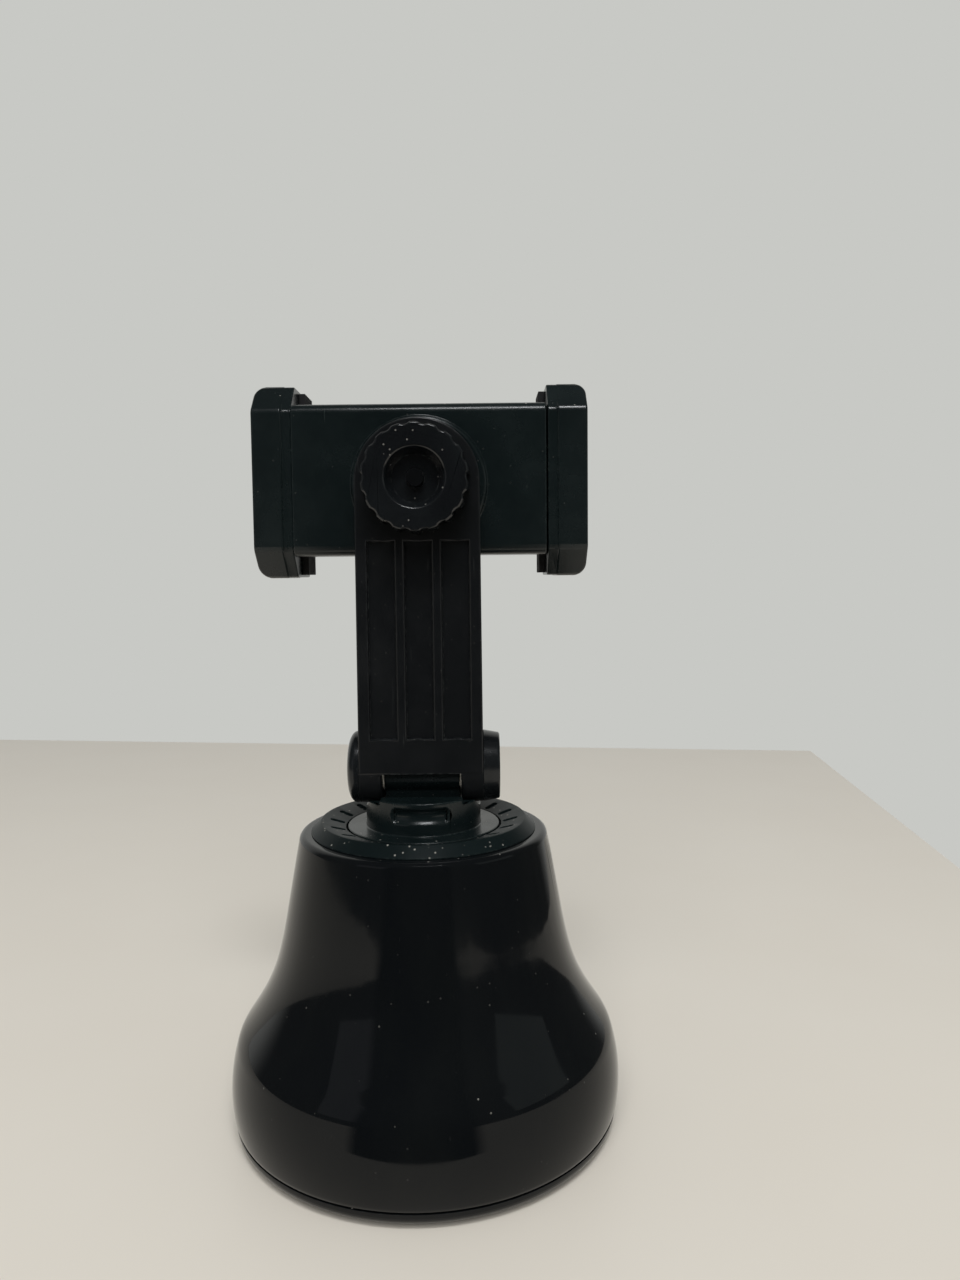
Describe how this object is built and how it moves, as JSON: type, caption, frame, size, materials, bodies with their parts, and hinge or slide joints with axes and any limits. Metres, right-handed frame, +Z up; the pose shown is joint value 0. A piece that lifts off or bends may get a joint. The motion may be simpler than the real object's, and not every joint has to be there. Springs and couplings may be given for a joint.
{
  "type": "phone holder",
  "caption": "Free-standing phone holder: a bell-shaped base with a motor-turned turntable and dial, a tilting grooved arm and a sprung phone clamp locked by a scalloped knob.",
  "frame": {"origin": "on the table, under the middle of the bell", "axes": "+Z up; X along the hinge and the clamp, with the sliding jaw at +X; the phone is held on the +Y side and the knob is on the -Y side"},
  "size_m": [0.095, 0.095, 0.1797],
  "materials": {
    "gloss_black_abs": "moulded ABS, high gloss",
    "satin_black_abs": "moulded ABS, fine satin texture",
    "inner_black_abs": "moulded ABS, as moulded",
    "black_rubber": "soft rubber, matt",
    "zinc_steel": "zinc-plated steel",
    "black_steel": "black-oxide steel",
    "turned_brass": "turned brass",
    "white_nylon": "moulded nylon",
    "cell_can": "printed film over a battery can",
    "green_laminate": "solder-masked laminate",
    "red_wire": "vinyl-covered wire"
  },
  "bodies": {
    "base": {"bell_shell": "gloss_black_abs", "dial_plate": "satin_black_abs", "base_plate": "gloss_black_abs", "rubber_feet": "black_rubber", "base_screws": "zinc_steel", "battery_door": "inner_black_abs", "battery_door_screw": "zinc_steel", "battery_box": "inner_black_abs", "battery_cells": "cell_can", "battery_springs": "zinc_steel", "battery_contacts": "zinc_steel", "battery_leads": "red_wire", "circuit_board": "green_laminate", "board_screws": "zinc_steel", "motor_leads": "red_wire", "drive_motor": "zinc_steel", "motor_screws": "zinc_steel", "gear_plate": "inner_black_abs", "gear_plate_screws": "zinc_steel", "idler_axle": "zinc_steel", "spindle_bush": "white_nylon", "thrust_washer": "white_nylon", "switch_body": "inner_black_abs"},
    "power_switch": {"switch_slider": "satin_black_abs"},
    "pinion": {"motor_pinion": "turned_brass", "motor_shaft": "zinc_steel"},
    "idler": {"idler_gear": "white_nylon"},
    "head": {"turntable": "satin_black_abs", "drive_gear": "white_nylon", "gear_washer": "zinc_steel", "gear_screw": "zinc_steel", "hinge_washers": "white_nylon"},
    "arm": {"swing_arm": "satin_black_abs", "hinge_bolt": "zinc_steel", "hinge_nut": "zinc_steel", "left_hinge_cap": "gloss_black_abs", "right_hinge_cap": "gloss_black_abs"},
    "clamp": {"clamp_housing": "satin_black_abs", "clamp_cover": "inner_black_abs", "cover_screws": "zinc_steel", "back_pad": "black_rubber", "fixed_jaw": "satin_black_abs", "fixed_jaw_screws": "zinc_steel", "fixed_jaw_pad": "black_rubber", "pivot_stud": "black_steel", "swivel_washer": "white_nylon", "jaw_springs": "zinc_steel"},
    "slider": {"sliding_jaw": "satin_black_abs", "sliding_jaw_pad": "black_rubber"},
    "knob": {"lock_knob": "satin_black_abs", "knob_nut": "turned_brass"}
  },
  "joints": [
    {"name": "pan", "type": "hinge", "parent": "base", "child": "head", "pos_m": [0, 0, 0.0706], "axis": [0, 0, 1], "continuous": true},
    {"name": "tilt", "type": "hinge", "parent": "head", "child": "arm", "pos_m": [0, 0, 0.0862], "axis": [1, 0, 0], "range_deg": [-60, 45]},
    {"name": "clamp_swivel", "type": "hinge", "parent": "arm", "child": "clamp", "pos_m": [0, 0, 0.1548], "axis": [0, -1, 0], "continuous": true},
    {"name": "jaw_slide", "type": "slide", "parent": "clamp", "child": "slider", "axis": [1, 0, 0], "range_m": [0, 0.035], "stiffness_N_per_m": 120, "springref_m": -0.02, "deforming": ["jaw_springs"]},
    {"name": "knob_turn", "type": "hinge", "parent": "clamp", "child": "knob", "pos_m": [0, -0.0132, 0.1548], "axis": [0, -1, 0], "continuous": true},
    {"name": "switch_slide", "type": "slide", "parent": "base", "child": "power_switch", "axis": [1, 0, 0], "range_m": [0, 0.003]},
    {"name": "idler_spin", "type": "hinge", "parent": "base", "child": "idler", "pos_m": [0.0168, 0, 0.058], "axis": [0, 0, 1], "continuous": true},
    {"name": "pinion_spin", "type": "hinge", "parent": "base", "child": "pinion", "pos_m": [0.00915, 0.00912, 0.058], "axis": [0, 0, 1], "continuous": true}
  ],
  "couplings": [
    {"joint": "idler_spin", "follows": "pan", "ratio": -3},
    {"joint": "pinion_spin", "follows": "pan", "ratio": 7.2}
  ]
}
